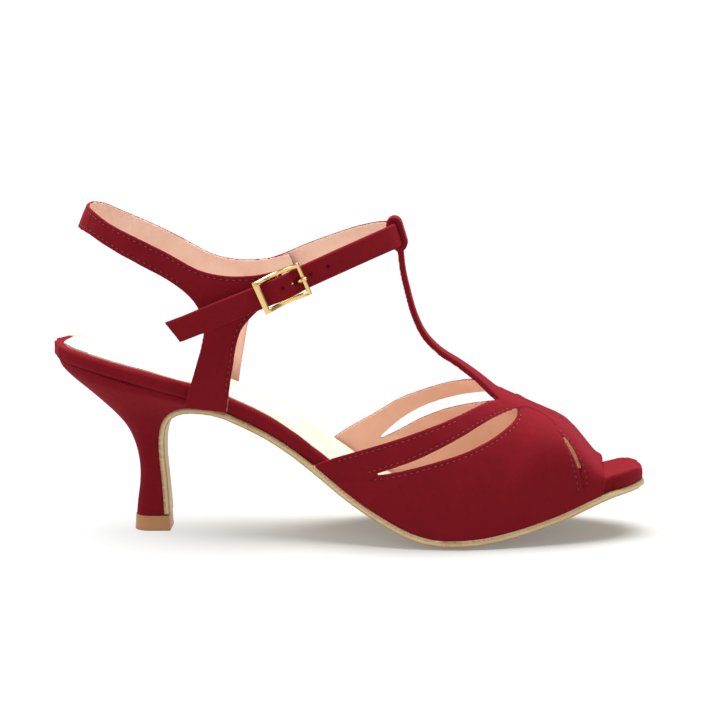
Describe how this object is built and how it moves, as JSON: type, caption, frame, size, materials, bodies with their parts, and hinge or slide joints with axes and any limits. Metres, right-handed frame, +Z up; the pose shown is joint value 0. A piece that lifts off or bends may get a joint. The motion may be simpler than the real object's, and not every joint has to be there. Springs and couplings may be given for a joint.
{
  "type": "t strap shoe",
  "caption": "Open toe T strap sandal for the right foot, with a flared mid heel, slit forefoot panels, an ankle strap through the T strap's loop and a sling round the heel.",
  "frame": {"origin": "centre of the flat spot of the tread, on the floor", "axes": "+X to the toe, +Y to the inner side of the foot, +Z up"},
  "size_m": [0.2323, 0.0764, 0.1292],
  "materials": {
    "upper_suede": "red suede with a short nap",
    "rand_suede": "red suede wrapped round the footbed board",
    "heel_suede": "red suede stretched over the heel",
    "sole_leather": "smooth tan sole leather with a waxed edge",
    "sock_leather": "smooth cream lining leather",
    "top_piece": "hard tan top piece",
    "buckle_gold": "polished gold plate"
  },
  "bodies": {
    "root": {"outsole": "sole_leather", "heel": "heel_suede", "top_piece": "top_piece", "footbed": "rand_suede", "sock_lining": "sock_leather", "upper": "upper_suede", "quarter": "upper_suede", "ankle_strap": "upper_suede", "buckle": "buckle_gold", "prong": "buckle_gold"}
  },
  "joints": []
}
